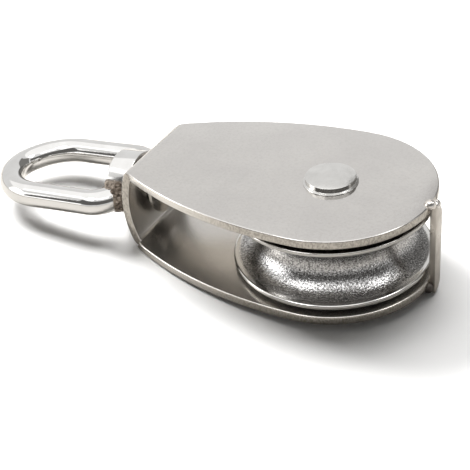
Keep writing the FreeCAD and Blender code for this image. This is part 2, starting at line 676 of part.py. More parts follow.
doc.recompute()
for item in doc.Objects:
    if "Invalid" in item.State or "Error" in item.State:
        raise RuntimeError("%s failed: %s" % (item.Label, item.State))
os.makedirs("parts", exist_ok=True)
for piece in pieces:
    shape = piece.Shape
    if shape.isNull() or not shape.isValid() or not shape.Solids:
        raise RuntimeError("%s has no valid solid" % piece.Label)
    shape.exportStep("parts/%s.step" % piece.Label)
    box = shape.BoundBox
    print("%-16s %d solid(s) %9.1f mm3  x %7.2f..%7.2f  y %7.2f..%7.2f  z %7.2f..%7.2f" % (
        piece.Label, len(shape.Solids), shape.Volume,
        box.XMin, box.XMax, box.YMin, box.YMax, box.ZMin, box.ZMax))
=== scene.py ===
import json
from math import acos, atan, atan2, copysign, cos, hypot, pi, radians, sin, sqrt, tan, tau

import bmesh
import bpy
from mathutils import Matrix, Vector


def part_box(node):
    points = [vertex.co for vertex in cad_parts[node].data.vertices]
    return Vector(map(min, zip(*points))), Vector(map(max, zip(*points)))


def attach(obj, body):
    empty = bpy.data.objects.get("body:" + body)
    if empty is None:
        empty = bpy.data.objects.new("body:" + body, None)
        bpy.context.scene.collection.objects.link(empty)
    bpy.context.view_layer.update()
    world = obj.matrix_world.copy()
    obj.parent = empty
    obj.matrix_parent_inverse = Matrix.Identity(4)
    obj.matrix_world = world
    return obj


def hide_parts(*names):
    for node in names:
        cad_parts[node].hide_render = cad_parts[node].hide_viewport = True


# A single pulley block of bright steel: a strap folded round a grooved sheave, a riveted axle, a
# tie bar welded across the tip, and a swivel eye. Shapes are drawn in millimetres and scaled when
# they are put in place. +X runs to the tip, +Z along the axle.

millimetre = 0.001
tiny = 1e-6  # a profile's point nearer the axle than this lies on it
turnedSharpAngle = 38  # degrees; a turned piece's edges past this are sharp
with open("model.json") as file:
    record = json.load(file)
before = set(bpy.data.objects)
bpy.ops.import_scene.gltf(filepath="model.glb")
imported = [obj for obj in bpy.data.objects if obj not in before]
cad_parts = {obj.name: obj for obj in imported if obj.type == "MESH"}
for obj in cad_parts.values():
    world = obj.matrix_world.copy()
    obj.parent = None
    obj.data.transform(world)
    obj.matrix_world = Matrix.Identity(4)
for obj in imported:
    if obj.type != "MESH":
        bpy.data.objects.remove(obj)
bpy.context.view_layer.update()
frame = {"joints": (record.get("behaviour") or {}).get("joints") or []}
scene = bpy.context.scene


def boxOf(node):
    low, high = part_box(node)
    return low / millimetre, high / millimetre


# Drawing helpers

def arcPoints(start, end, bulge, steps):
    # Points from start to end on an arc that bulges to the left of the way; the start is left out.
    chord = Vector(end) - Vector(start)
    radius = (chord.length_squared / 4 + bulge * bulge) / (2 * abs(bulge))
    side = copysign(1, bulge)
    left = Vector((-chord.y, chord.x)).normalized() * side
    centre = Vector(start) + chord / 2 + left * (abs(bulge) - radius)
    sweep = 4 * atan(2 * abs(bulge) / chord.length)
    arm = Vector(start) - centre
    points = []
    for step in range(1, steps + 1):
        turn = -side * sweep * step / steps
        points.append(tuple(centre + Matrix.Rotation(turn, 2) @ arm))
    return points


def roundCorners(corners, steps, closed):
    # Corners are (x, y, rounding); each rounding becomes an arc that touches both edges.
    points = []
    count = len(corners)
    for index, (x, y, rounding) in enumerate(corners):
        here = Vector((x, y))
        ends = not closed and index in (0, count - 1)
        if rounding == 0 or ends:
            points.append((x, y))
            continue
        before = (Vector(corners[index - 1][:2]) - here).normalized()
        after = (Vector(corners[(index + 1) % count][:2]) - here).normalized()
        half = before.angle(after) / 2
        reach = rounding / tan(half)
        centre = here + (before + after).normalized() * (rounding / sin(half))
        arm = here + before * reach - centre
        full = arm.angle_signed(here + after * reach - centre)
        for step in range(steps + 1):
            points.append(tuple(centre + Matrix.Rotation(-full * step / steps, 2) @ arm))
    return points


def smoothByAngle(mesh, degrees):
    mesh.polygons.foreach_set("use_smooth", [True] * len(mesh.polygons))
    mesh.set_sharp_from_angle(angle=radians(degrees))


def newObject(name, data):
    item = bpy.data.objects.new(name, data)
    scene.collection.objects.link(item)
    return item


def plainMesh(name, points, edges=(), faces=()):
    mesh = bpy.data.meshes.new(name)
    mesh.from_pydata(points, edges, faces)
    return mesh


def closedMesh(name, shape):
    bmesh.ops.recalc_face_normals(shape, faces=shape.faces)
    mesh = bpy.data.meshes.new(name)
    shape.to_mesh(mesh)
    shape.free()
    return mesh


def turnedMesh(name, profile, sides, closed=False):
    # Turns (radius, height) points round Z. A point at radius 0 is one pole.
    shape = bmesh.new()
    turns = [tau * n / sides for n in range(sides)]
    loops = []
    for radius, height in profile:
        if radius < tiny:
            loops.append([shape.verts.new((0, 0, height))])
            continue
        loops.append([shape.verts.new((radius * cos(turn), radius * sin(turn), height)) for turn in turns])
    pairs = list(zip(loops, loops[1:])) + ([(loops[-1], loops[0])] if closed else [])
    for first, second in pairs:
        for n in range(sides):
            following = (n + 1) % sides
            around = [first[n % len(first)], first[following % len(first)],
                      second[following % len(second)], second[n % len(second)]]
            shape.faces.new(list(dict.fromkeys(around)))
    mesh = closedMesh(name, shape)
    smoothByAngle(mesh, turnedSharpAngle)
    return mesh


def turnedPiece(name, corners, sizes, closed=False):
    return turnedMesh(name, roundCorners(corners, sizes["cornerSteps"], closed), sizes["sides"], closed)


def extrudedShape(outline, depth):
    # A flat outline in X and Y, made thick along +Z.
    shape = bmesh.new()
    base = shape.faces.new([shape.verts.new((x, y, 0)) for x, y in outline])
    raised = bmesh.ops.extrude_face_region(shape, geom=[base])["geom"]
    bmesh.ops.translate(shape, vec=(0, 0, depth),
                        verts=[item for item in raised if isinstance(item, bmesh.types.BMVert)])
    bmesh.ops.recalc_face_normals(shape, faces=shape.faces)
    return shape


def evaluatedMesh(name, mesh, kind, settings, sockets=None):
    # The mesh as a modifier leaves it, without the modifier.
    holder = newObject(name, mesh)
    modifier = holder.modifiers.new(name, kind)
    for setting, value in settings.items():
        setattr(modifier, setting, value)
    for socket, value in (sockets or {}).items():
        modifier[socket] = value
    graph = bpy.context.evaluated_depsgraph_get()
    result = bpy.data.meshes.new_from_object(holder.evaluated_get(graph), depsgraph=graph)
    bpy.data.objects.remove(holder)
    return result


def putInPlace(name, mesh, material, body, node, turn=None):
    mesh.transform((turn or Matrix.Identity(4)) @ Matrix.Scale(millimetre, 4))
    mesh.materials.clear()
    mesh.materials.append(material)
    piece = newObject(name, mesh)
    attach(piece, body)
    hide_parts(node)


# The eye turns about its swivel joint. Its pieces are drawn with the pivot at the origin and the
# joint's axis along +X, so they are tilted with the joint.
swivel = next(joint for joint in frame["joints"] if joint["name"] == "eye_swivel")
swivelTilt = atan2(-swivel["axis"][2], swivel["axis"][0])
eyePlace = Matrix.Translation(Vector(swivel["pos_m"])) @ Matrix.Rotation(swivelTilt, 4, "Y")
alongX = Matrix.Rotation(radians(90), 4, "Y")


# Material helpers

def addNode(tree, kind, inputs=None, **settings):
    node = tree.nodes.new(kind)
    for name, value in settings.items():
        setattr(node, name, value)
    for name, value in (inputs or {}).items():
        if isinstance(value, bpy.types.NodeSocket):
            tree.links.new(value, node.inputs[name])
        else:
            node.inputs[name].default_value = value
    return node


def outputOf(tree, kind, inputs=None, socket=0, **settings):
    return addNode(tree, kind, inputs, **settings).outputs[socket]


def mathNode(tree, operation, first, second=0.0):
    return outputOf(tree, "ShaderNodeMath", {0: first, 1: second}, operation=operation)


def product(tree, first, second):
    return mathNode(tree, "MULTIPLY", first, second)


def difference(tree, first, second):
    return mathNode(tree, "SUBTRACT", first, second)


def vectorNode(tree, operation, inputs, socket=0):
    return outputOf(tree, "ShaderNodeVectorMath", inputs, socket, operation=operation)


def mixValue(tree, factor, first, second):
    return outputOf(tree, "ShaderNodeMix", {"Factor": factor, "A": first, "B": second})


def mixColour(tree, factor, first, second):
    # A Mix node's colours are its sockets 6 and 7, and its mixed colour is output 2.
    return outputOf(tree, "ShaderNodeMix", {"Factor": factor, 6: first, 7: second}, 2, data_type="RGBA")


def stretchValue(tree, value, fromLow, fromHigh, toLow=0.0, toHigh=1.0):
    return outputOf(tree, "ShaderNodeMapRange", {"Value": value, "From Min": fromLow, "From Max": fromHigh,
                                                 "To Min": toLow, "To Max": toHigh})


def newGroup(name, inputs, outputs):
    group = bpy.data.node_groups.new(name, "ShaderNodeTree")
    for socket, value in inputs.items():
        kind = "NodeSocketVector" if isinstance(value, tuple) else "NodeSocketFloat"
        group.interface.new_socket(socket, in_out="INPUT", socket_type=kind).default_value = value
    for socket in outputs:
        group.interface.new_socket(socket, in_out="OUTPUT", socket_type="NodeSocketFloat")
    return group, group.nodes.new("NodeGroupInput").outputs, group.nodes.new("NodeGroupOutput").inputs


def useGroup(tree, group, inputs):
    return addNode(tree, "ShaderNodeGroup", inputs, node_tree=group).outputs


def buildGrain():
    # Fine grain, drawn out along one direction by Stretch, and the broad clouding of handled metal.
    group, given, out = newGroup("surfaceGrain", {
        "Vector": (0, 0, 0), "Stretch": (1, 1, 1), "Scale": 4000.0, "Cloud Scale": 90.0},
        ["Grain", "Cloud"])
    drawn = vectorNode(group, "MULTIPLY", {0: given["Vector"], 1: given["Stretch"]})
    grain = outputOf(group, "ShaderNodeTexNoise",
                     {"Vector": drawn, "Scale": given["Scale"], "Detail": 3.0, "Roughness": 0.6}, "Fac")
    cloud = outputOf(group, "ShaderNodeTexNoise",
                     {"Vector": given["Vector"], "Scale": given["Cloud Scale"], "Detail": 4.0,
                      "Roughness": 0.55, "Distortion": 0.4}, "Fac")
    group.links.new(grain, out["Grain"])
    group.links.new(cloud, out["Cloud"])
    return group


def buildEdgeWear():
    # 1 on worn edges: where the normal of a rounded edge parts from the face's own.
    group, given, out = newGroup("edgeWear", {"Width": 0.0004, "Gain": 3.0, "Break Up": 0.5}, ["Wear"])
    rounded = outputOf(group, "ShaderNodeBevel", {"Radius": given["Width"]}, samples=4)
    face = outputOf(group, "ShaderNodeNewGeometry", socket="Normal")
    parted = vectorNode(group, "DOT_PRODUCT", {0: rounded, 1: face}, "Value")
    gained = product(group, difference(group, 1.0, parted), given["Gain"])
    broken = product(group, gained, given["Break Up"])
    group.links.new(outputOf(group, "ShaderNodeClamp", {"Value": broken}), out["Wear"])
    return group


def buildScratches():
    # A few hair-thin scratches, each a stretch of a warped cell border.
    group, given, out = newGroup("hairScratches", {
        "Vector": (0, 0, 0), "Scale": 60.0, "Width": 0.01, "Amount": 0.4}, ["Scratch"])
    turned = outputOf(group, "ShaderNodeMapping",
                      {"Vector": given["Vector"], "Rotation": (0.3, 0.5, 0.9), "Scale": (1.0, 3.5, 1.0)})
    border = outputOf(group, "ShaderNodeTexVoronoi",
                      {"Vector": turned, "Scale": given["Scale"], "Randomness": 1.0}, "Distance",
                      feature="DISTANCE_TO_EDGE")
    line = stretchValue(group, border, 0.0, given["Width"], 1.0, 0.0)
    patches = outputOf(group, "ShaderNodeTexNoise",
                       {"Vector": given["Vector"], "Scale": given["Scale"], "Detail": 1.0}, "Fac")
    there = mathNode(group, "LESS_THAN", patches, given["Amount"])
    group.links.new(product(group, line, there), out["Scratch"])
    return group


grainGroup = buildGrain()
edgeGroup = buildEdgeWear()
scratchGroup = buildScratches()


def newMaterial(name):
    material = bpy.data.materials.new(name)
    material.use_nodes = True
    material.node_tree.nodes.clear()
    return material, material.node_tree


def showShader(tree, kind, inputs, onto="ShaderNodeOutputMaterial"):
    addNode(tree, onto, {"Surface": outputOf(tree, kind, inputs)})


def startMetal(name, look):
    # The grain that every metal here has, and the colour and roughness that its clouding gives.
    material, tree = newMaterial(name)
    place = outputOf(tree, "ShaderNodeTexCoord", socket="Object")
    grain = useGroup(tree, grainGroup, {"Vector": place, "Stretch": look["stretch"],
                                        "Scale": look["grainScale"], "Cloud Scale": look["cloudScale"]})
    clouded = stretchValue(tree, grain["Cloud"], *look["cloudSpan"])
    colour = mixColour(tree, clouded, look["colour"], look["cloudColour"])
    rough = stretchValue(tree, grain["Cloud"], *look["dullSpan"], *look["roughness"])
    return material, tree, place, grain, colour, rough


def finishMetal(tree, colour, roughness, height, look):
    bump = outputOf(tree, "ShaderNodeBump",
                    {"Height": height, "Strength": 1.0, "Distance": look["bumpDepth"]})
    showShader(tree, "ShaderNodeBsdfPrincipled",
               {"Base Color": colour, "Roughness": roughness, "Metallic": 1.0, "Normal": bump})


def wornEdges(tree, grain, look):
    # The clouding breaks up the wear along the edges.
    broken = stretchValue(tree, grain["Cloud"], *look["wearSpan"])
    return useGroup(tree, edgeGroup, {"Width": look["wearWidth"], "Gain": look["wearGain"],
                                      "Break Up": broken})["Wear"]


def scratchedHeight(tree, place, grain, look):
    given = {"Vector": place, "Scale": look["scratchScale"], "Width": look["scratchWidth"],
             "Amount": look["scratchAmount"]}
    scratch = useGroup(tree, scratchGroup, given)["Scratch"]
    raised = product(tree, grain["Grain"], look["grainHeight"])
    return difference(tree, raised, product(tree, scratch, look["scratchDepth"]))


def steelMaterial(name, look):
    material, tree, place, grain, colour, rough = startMetal(name, look)
    wear = wornEdges(tree, grain, look)
    colour = mixColour(tree, wear, colour, look["edgeColour"])
    rough = difference(tree, rough, product(tree, wear, look["wearPolish"]))
    finishMetal(tree, colour, rough, scratchedHeight(tree, place, grain, look), look)
    return material


# The strap: one blank, folded into two cheeks and the bowed bridge between them

strapSizes = dict(
    thickness=2.2,
    foldInnerRadius=1.3,
    bowRadius=28.0,
    flankRadius=103.0,
    flankBulge=0.012,
    cheekReach=50.6,
    cornerHalfWidth=13.15,
    bridgeHalfWidth=12.5,
    edgeRound=0.3,
    noseSteps=44,
    flankSteps=30,
    bowSlices=18,
    foldSlices=12,
    notchFloor=25.5,
    notchLow=-1.6,
    notchHigh=2.9,
    axleHoleRadius=4.02,
    studHoleRadius=4.35,
    cheekFrom=-45.0,
    levelFrom=0.6,
    sidewaysFrom=0.75,
    edgeSteps=3,
    holeSides=64,
    sharpAngle=32,
)


def markFaces(mesh):
    # Tells the sheared sides of the sheet, and the faces that look at the sheave, by where they look.
    sizes = strapSizes
    mesh.attributes.new("cutFace", "FLOAT", "FACE")
    mesh.attributes.new("innerFace", "FLOAT", "FACE")
    cutFaces, innerFaces = mesh.attributes["cutFace"].data, mesh.attributes["innerFace"].data
    for face, cut, inner in zip(mesh.polygons, cutFaces, innerFaces):
        x, y, z = face.normal
        level = abs(z) > sizes["levelFrom"]
        onCheek = not level and face.center.x > sizes["cheekFrom"]
        cut.value = float(onCheek or abs(y) > sizes["sidewaysFrom"])
        inner.value = float(z * face.center.z < 0 if level else x > 0)


def strapMesh():
    sizes = strapSizes
    low, high = boxOf("side_strap")
    half = high.z
    bow, flank, reach = sizes["bowRadius"], sizes["flankRadius"], sizes["cheekReach"]
    noseRadius = high.y - sizes["flankBulge"]
    foldOuter = sizes["foldInnerRadius"] + sizes["thickness"]
    bowCentre = low.x + bow
    rise = half - foldOuter
    foldCentre = bowCentre - sqrt((bow - foldOuter) ** 2 - rise ** 2)
    lean = atan2(rise, bowCentre - foldCentre)
    bowLength = bow * lean
    foldLength = foldOuter * (pi / 2 - lean)
    straight = bowLength + foldLength

    # The flank's arc touches the nose's and passes through the corner.
    near = flank - noseRadius
    span = hypot(reach, sizes["cornerHalfWidth"])
    along = (near ** 2 - flank ** 2 + span ** 2) / (2 * span)
    across = sqrt(near ** 2 - along ** 2)
    toCorner = atan2(sizes["cornerHalfWidth"], -reach)
    flankCentre = Vector((along * cos(toCorner) - across * sin(toCorner),
                          along * sin(toCorner) + across * cos(toCorner)))
    meet = atan2(-flankCentre.y, -flankCentre.x)

    def flatX(x):
        # Distance along the blank, from the middle of the bridge, for a place on a cheek.
        if x >= foldCentre:
            return straight + x - foldCentre
        return bowLength + foldOuter * (acos((foldCentre - x) / foldOuter) - lean)

    quarter = []
    for step in range(sizes["noseSteps"]):
        turn = meet * step / sizes["noseSteps"]
        quarter.append((flatX(noseRadius * cos(turn)), noseRadius * sin(turn)))
    meetX = noseRadius * cos(meet)
    for step in range(sizes["flankSteps"] + 1):
        x = meetX + (-reach - meetX) * step / sizes["flankSteps"]
        y = flankCentre.y + sqrt(flank ** 2 - (x - flankCentre.x) ** 2)
        quarter.append((flatX(x), y))
    quarter.append((flatX(-reach), sizes["bridgeHalfWidth"]))
    upper = quarter + [(-s, y) for s, y in reversed(quarter)]
    outline = upper + [(s, -y) for s, y in reversed(upper[1:-1])]

    shape = extrudedShape(outline, sizes["thickness"])
    rims = [edge for edge in shape.edges if len({round(vert.co.z, 6) for vert in edge.verts}) == 1]
    bmesh.ops.bevel(shape, geom=rims, offset=sizes["edgeRound"], segments=sizes["edgeSteps"],
                    profile=0.5, affect="EDGES", clamp_overlap=False)
    slices = [bowLength * (n / sizes["bowSlices"] * 2 - 1) for n in range(sizes["bowSlices"] + 1)]
    for n in range(1, sizes["foldSlices"] + 1):
        place = bowLength + foldLength * n / sizes["foldSlices"]
        slices += [place, -place]
    for place in slices:
        bmesh.ops.bisect_plane(shape, geom=shape.verts[:] + shape.edges[:] + shape.faces[:],
                               plane_co=(place, 0, 0), plane_no=(1, 0, 0), dist=1e-5)
    for vert in shape.verts:
        along, y, depth = vert.co
        side = 1 if along >= 0 else -1
        along = abs(along)
        if along < bowLength:
            turn = along / bow
            arm = bow - depth
            vert.co = (bowCentre - arm * cos(turn), y, side * arm * sin(turn))
        elif along < straight:
            turn = lean + (along - bowLength) / foldOuter
            arm = foldOuter - depth
            vert.co = (foldCentre - arm * cos(turn), y, side * (rise + arm * sin(turn)))
        else:
            vert.co = (foldCentre + along - straight, y, side * (half - depth))
    mesh = closedMesh("folded_strap", shape)

    # Axle holes, stud hole and the flats for the tie bar are cut out last.
    def rodCutter(name, radius, end):
        return turnedMesh(name, [(0, -end), (radius, -end), (radius, end), (0, end)], sizes["holeSides"])

    axle = rodCutter("axle_cutter", sizes["axleHoleRadius"], 2 * half)
    stud = rodCutter("stud_cutter", sizes["studHoleRadius"], half)
    stud.transform(Matrix.Translation((low.x, 0, 0)) @ alongX)
    floor, outside = sizes["notchFloor"], 2 * noseRadius
    left, right = sizes["notchLow"], sizes["notchHigh"]
    notch = extrudedShape([(floor, left), (outside, left), (outside, right), (floor, right)], 4 * half)
    bmesh.ops.translate(notch, vec=(0, 0, -2 * half), verts=notch.verts)
    for cutter in (axle, stud):
        notch.from_mesh(cutter)
    cutters = newObject("strap_cutters", closedMesh("strap_cutters", notch))
    mesh = evaluatedMesh("strap_blank", mesh, "BOOLEAN",
                         {"operation": "DIFFERENCE", "solver": "EXACT", "object": cutters})
    bpy.data.objects.remove(cutters)
    smoothByAngle(mesh, sizes["sharpAngle"])
    markFaces(mesh)
    return mesh


# The sheave, its bush and the rivet are turned about the axle

sheaveSizes = dict(
    boreRadius=5.52,
    hubRadius=9.5,
    halfWidth=8.0,
    grooveHalfWidth=7.0,
    grooveDepth=7.4,
    rimRound=0.32,
    lipReach=0.4675,
    lipInset=0.1275,
    lipBulge=0.17,
    grooveSteps=72,
    cornerSteps=5,
    sides=384,
)


def sheaveMesh():
    sizes = sheaveSizes
    high = boxOf("sheave")[1]
    radius, hubHalf = high.y, high.z
    bore, hub, edge = sizes["boreRadius"], sizes["hubRadius"], sizes["rimRound"]
    lowRim = [(bore, hubHalf, 0), (bore, -hubHalf, edge / 2), (hub, -hubHalf, edge),
              (hub, -sizes["halfWidth"], 0), (radius, -sizes["halfWidth"], edge),
              (radius, -sizes["grooveHalfWidth"], 0)]
    side = roundCorners(lowRim, sizes["cornerSteps"], False)[1:-1]
    # The rim rolls into the groove over a polished lip.
    reach = sizes["lipReach"]
    lipEnd = (radius - reach, sizes["lipInset"] - sizes["grooveHalfWidth"])
    rimTop = [(radius, -sizes["grooveHalfWidth"] - reach)]
    rimTop += arcPoints(rimTop[0], lipEnd, -sizes["lipBulge"], sizes["cornerSteps"])
    groove = arcPoints(lipEnd, (lipEnd[0], -lipEnd[1]), sizes["grooveDepth"] - reach, sizes["grooveSteps"])
    mirrored = [(r, -z) for r, z in reversed(side + rimTop)]
    return turnedMesh("sheave", side + rimTop + groove[:-1] + mirrored, sizes["sides"], closed=True)


bushSizes = dict(
    boreRadius=4.05,
    edgeRound=0.2,
    cornerSteps=3,
    sides=96,
)


def bushMesh():
    sizes = bushSizes
    low, high = boxOf("sheave_bush")
    bore, edge = sizes["boreRadius"], sizes["edgeRound"]
    corners = [(bore, low.z, edge), (high.y, low.z, edge), (high.y, high.z, edge), (bore, high.z, edge)]
    return turnedPiece("bush", corners, sizes, closed=True)


rivetSizes = dict(
    lipHeight=0.24,
    lipRound=0.1,
    lipFoot=0.06,
    neckRadius=6.22,
    neckStart=0.38,
    neckRound=0.12,
    shoulderHeight=1.6,
    shoulderRadius=6.2,
    shoulderRound=0.05,
    tailRadius=6.0,
    tailRim=0.7,
    tailRound=0.2,
    shankRadius=4.0,
    domeSteps=24,
    cornerSteps=6,
    sides=192,
)


def domeArc(start, end, steps):
    # An arc whose middle lies on the axle, so its bulge follows from its width and height.
    width, height = abs(end[0] - start[0]), abs(end[1] - start[1])
    chordSquared = width ** 2 + height ** 2
    radius = chordSquared / (2 * height)
    return arcPoints(start, end, sqrt(radius ** 2 - chordSquared / 4) - radius, steps)


def rivetMesh():
    sizes = rivetSizes
    low, high = boxOf("axle_rivet")
    face = boxOf("side_strap")[1].z
    shoulder = (sizes["shoulderRadius"], face + sizes["shoulderHeight"])
    tailStart = (0.0, low.z)
    tailRim = (sizes["tailRadius"], -face - sizes["tailRim"])
    crown = domeArc(shoulder, (0.0, high.z), sizes["domeSteps"])
    tail = [tailStart] + domeArc(tailStart, tailRim, sizes["domeSteps"])
    corners = [(r, z, 0) for r, z in tail[:-1]]
    corners += [(*tailRim, sizes["tailRound"]), (sizes["tailRadius"], -face, 0),
                (sizes["shankRadius"], -face, 0), (sizes["shankRadius"], face, 0),
                (high.y, face, sizes["lipFoot"]), (high.y, face + sizes["lipHeight"], sizes["lipRound"]),
                (sizes["neckRadius"], face + sizes["neckStart"], sizes["neckRound"]),
                (*shoulder, sizes["shoulderRound"])]
    corners += [(r, z, 0) for r, z in crown]
    return turnedPiece("rivet", corners, sizes)


# The eye: a collar on a headed stud, and the bent ring

collarSizes = dict(
    start=-8.9,
    end=-1.5,
    bore=4.02,
    boreRound=0.15,
    edgeRound=0.8,
    footRound=0.2,
    cornerSteps=8,
    sides=192,
)


def collarMesh():
    sizes = collarSizes
    outer = boxOf("swivel_collar")[1].y
    bore, start, end = sizes["bore"], sizes["start"], sizes["end"]
    corners = [(bore, start, sizes["boreRound"]), (outer, start, sizes["edgeRound"]),
               (outer, end, sizes["footRound"]), (bore, end, sizes["boreRound"])]
    mesh = turnedPiece("collar", corners, sizes, closed=True)
    mesh.transform(alongX)
    return mesh


studSizes = dict(
    shankRadius=4.0,
    tailRound=0.3,
    seat=2.7,
    seatRound=0.2,
    headUnder=5.6,
    headRound=0.5,
    headTop=6.0,
    crown=1.5,
    crownBulge=0.375,
    crownSteps=20,
    cornerSteps=6,
    sides=160,
)


def studMesh():
    sizes = studSizes
    head = boxOf("swivel_stud")[1].y
    seat, tail, top = sizes["seat"], collarSizes["start"], sizes["headTop"]
    rim = top - sizes["crown"]
    corners = [(0.0, tail, 0), (sizes["shankRadius"], tail, sizes["tailRound"]),
               (sizes["shankRadius"], seat, 0), (sizes["headUnder"], seat, sizes["seatRound"]),
               (head, (seat + rim) / 2, sizes["headRound"]), (head, rim, 0)]
    crown = arcPoints((head, rim), (0.0, top), -sizes["crownBulge"], sizes["crownSteps"])
    corners += [(r, z, 0) for r, z in crown]
    mesh = turnedPiece("stud", corners, sizes)
    mesh.transform(alongX)
    return mesh


ringSizes = dict(
    barRadius=3.43,
    line=-5.97,
    halfWidth=12.5,
    cornerRadius=6.2,
    shoulderRadius=15.0,
    crownRadius=9.5,
    crownCentre=-35.29,
    endReach=4.8,
    step=0.45,
    sides=96,
)


def ringPath():
    # One side of the centre line from the collar to the crown, then its mirror image.
    sizes = ringSizes
    half, corner, shoulder = sizes["halfWidth"], sizes["cornerRadius"], sizes["shoulderRadius"]
    lean = acos((shoulder - half) / (shoulder - sizes["crownRadius"]))
    shoulderCentre = sizes["crownCentre"] + (shoulder - sizes["crownRadius"]) * sin(lean)
    side = [(sizes["line"], sizes["endReach"])]

    def sweep(centre, radius, fromTurn, toTurn):
        count = max(2, round(radius * abs(toTurn - fromTurn) / sizes["step"]))
        for n in range(count + 1):
            turn = fromTurn + (toTurn - fromTurn) * n / count
            side.append((centre[0] + radius * cos(turn), centre[1] + radius * sin(turn)))

    sweep((sizes["line"] - corner, half - corner), corner, 0, pi / 2)
    sweep((shoulderCentre, half - shoulder), shoulder, pi / 2, pi / 2 + lean)
    sweep((sizes["crownCentre"], 0), sizes["crownRadius"], pi / 2 + lean, pi)
    return [(x, y, 0) for x, y in side] + [(x, -y, 0) for x, y in reversed(side[:-1])]


def newGeometryGroup(name, inputs):
    group = bpy.data.node_groups.new(name, "GeometryNodeTree")
    group.interface.new_socket("Geometry", in_out="INPUT", socket_type="NodeSocketGeometry")
    names = {}
    for socket, kind in inputs.items():
        item = group.interface.new_socket(socket, in_out="INPUT", socket_type="NodeSocket" + kind)
        names[socket] = item.identifier
    group.interface.new_socket("Geometry", in_out="OUTPUT", socket_type="NodeSocketGeometry")
    return group, names, group.nodes.new("NodeGroupInput").outputs, group.nodes.new("NodeGroupOutput").inputs


def endGroup(group, geometry, given, out):
    # Both trees end smooth, real and with their material.
    smooth = outputOf(group, "GeometryNodeSetShadeSmooth", {"Geometry": geometry})
    real = outputOf(group, "GeometryNodeRealizeInstances", {"Geometry": smooth})
    done = outputOf(group, "GeometryNodeSetMaterial", {"Geometry": real, "Material": given["Material"]})
    group.links.new(done, out["Geometry"])


def buildSweep():
    # Sweeps a round bar along the path it is given.
    group, names, given, out = newGeometryGroup("sweepBar", {
        "Bar Radius": "Float", "Sides": "Int", "Spacing": "Float", "Material": "Material"})
    curve = outputOf(group, "GeometryNodeMeshToCurve", {"Mesh": given["Geometry"]})
    even = outputOf(group, "GeometryNodeResampleCurve", {"Curve": curve, "Length": given["Spacing"]},
                    mode="LENGTH")
    section = outputOf(group, "GeometryNodeCurvePrimitiveCircle",
                       {"Resolution": given["Sides"], "Radius": given["Bar Radius"]})
    bar = outputOf(group, "GeometryNodeCurveToMesh",
                   {"Curve": even, "Profile Curve": section, "Fill Caps": True})
    endGroup(group, bar, given, out)
    return group, names


weldSkin = dict(
    threshold=0.1,
    lumpDetail=2.0,
    lumpLevel=0.62,  # noise above this stands out, noise below it sinks in
)


def buildWeldRun():
    # Runs beads of weld together into one lumpy skin; each point carries its bead's radius.
    group, names, given, out = newGeometryGroup("weldRun", {
        "Voxel": "Float", "Lump Height": "Float", "Lump Scale": "Float", "Seed": "Float",
        "Material": "Material"})
    radius = outputOf(group, "GeometryNodeInputNamedAttribute", {"Name": "beadRadius"}, "Attribute",
                      data_type="FLOAT")
    points = outputOf(group, "GeometryNodeMeshToPoints", {"Mesh": given["Geometry"], "Radius": radius})
    volume = outputOf(group, "GeometryNodePointsToVolume",
                      {"Points": points, "Voxel Size": given["Voxel"], "Radius": radius},
                      resolution_mode="VOXEL_SIZE")
    skin = outputOf(group, "GeometryNodeVolumeToMesh", {"Volume": volume, "Threshold": weldSkin["threshold"]})
    lumps = outputOf(group, "ShaderNodeTexNoise",
                     {"Scale": given["Lump Scale"], "W": given["Seed"], "Detail": weldSkin["lumpDetail"]},
                     "Fac", noise_dimensions="4D")
    push = product(group, difference(group, lumps, weldSkin["lumpLevel"]), given["Lump Height"])
    outward = outputOf(group, "GeometryNodeInputNormal", socket="Normal")
    offset = vectorNode(group, "SCALE", {0: outward, "Scale": push})
    lumpy = outputOf(group, "GeometryNodeSetPosition", {"Geometry": skin, "Offset": offset})
    endGroup(group, lumpy, given, out)
    return group, names


sweepTree = buildSweep()
weldTree = buildWeldRun()


def builtByNodes(name, mesh, built, values):
    group, names = built
    sockets = {names[socket]: value for socket, value in values.items()}
    return evaluatedMesh(name, mesh, "NODES", {"node_group": group}, sockets)


def ringMesh(material):
    points = ringPath()
    path = plainMesh("ring_path", points, [(n, n + 1) for n in range(len(points) - 1)])
    return builtByNodes("ring_path", path, sweepTree, {
        "Bar Radius": ringSizes["barRadius"], "Sides": ringSizes["sides"],
        "Spacing": ringSizes["step"], "Material": material})


# The tie bar across the tip

tieSizes = dict(
    thickness=1.6,
    footTaper=0.6,
    footBevel=1.3,
    cornerWidth=3.3,
    cornerHeight=4.0,
    cornerBulge=0.8,
    cornerSteps=10,
    edgeRound=0.14,
    edgeSteps=3,
    edgeFrom=25,
    sharpAngle=32,
)


def tieBarMesh():
    sizes = tieSizes
    low, high = boxOf("tie_bar")
    footEnd = high.y - sizes["footTaper"]
    cornerStart = (high.y, high.z - sizes["cornerHeight"])
    cornerEnd = (high.y - sizes["cornerWidth"], high.z)
    outline = [(low.y, low.z), (footEnd - sizes["footBevel"], low.z),
               (footEnd, low.z + sizes["footBevel"]), cornerStart]
    outline += arcPoints(cornerStart, cornerEnd, -sizes["cornerBulge"], sizes["cornerSteps"])
    outline.append((low.y, high.z))
    shape = extrudedShape(outline, sizes["thickness"])
    edgeFrom = radians(sizes["edgeFrom"])
    sharp = [edge for edge in shape.edges if edge.calc_face_angle(0) > edgeFrom]
    bmesh.ops.bevel(shape, geom=sharp, offset=sizes["edgeRound"], segments=sizes["edgeSteps"],
                    profile=0.5, affect="EDGES")
    # The outline was drawn flat: its X is the bar's Y, its Y the bar's Z, and its thickness the bar's X.
    shape.transform(Matrix(((0, 0, 1, low.x), (1, 0, 0, 0), (0, 1, 0, 0), (0, 0, 0, 1))))
    mesh = closedMesh("tie_bar", shape)
    smoothByAngle(mesh, sizes["sharpAngle"])
    return mesh


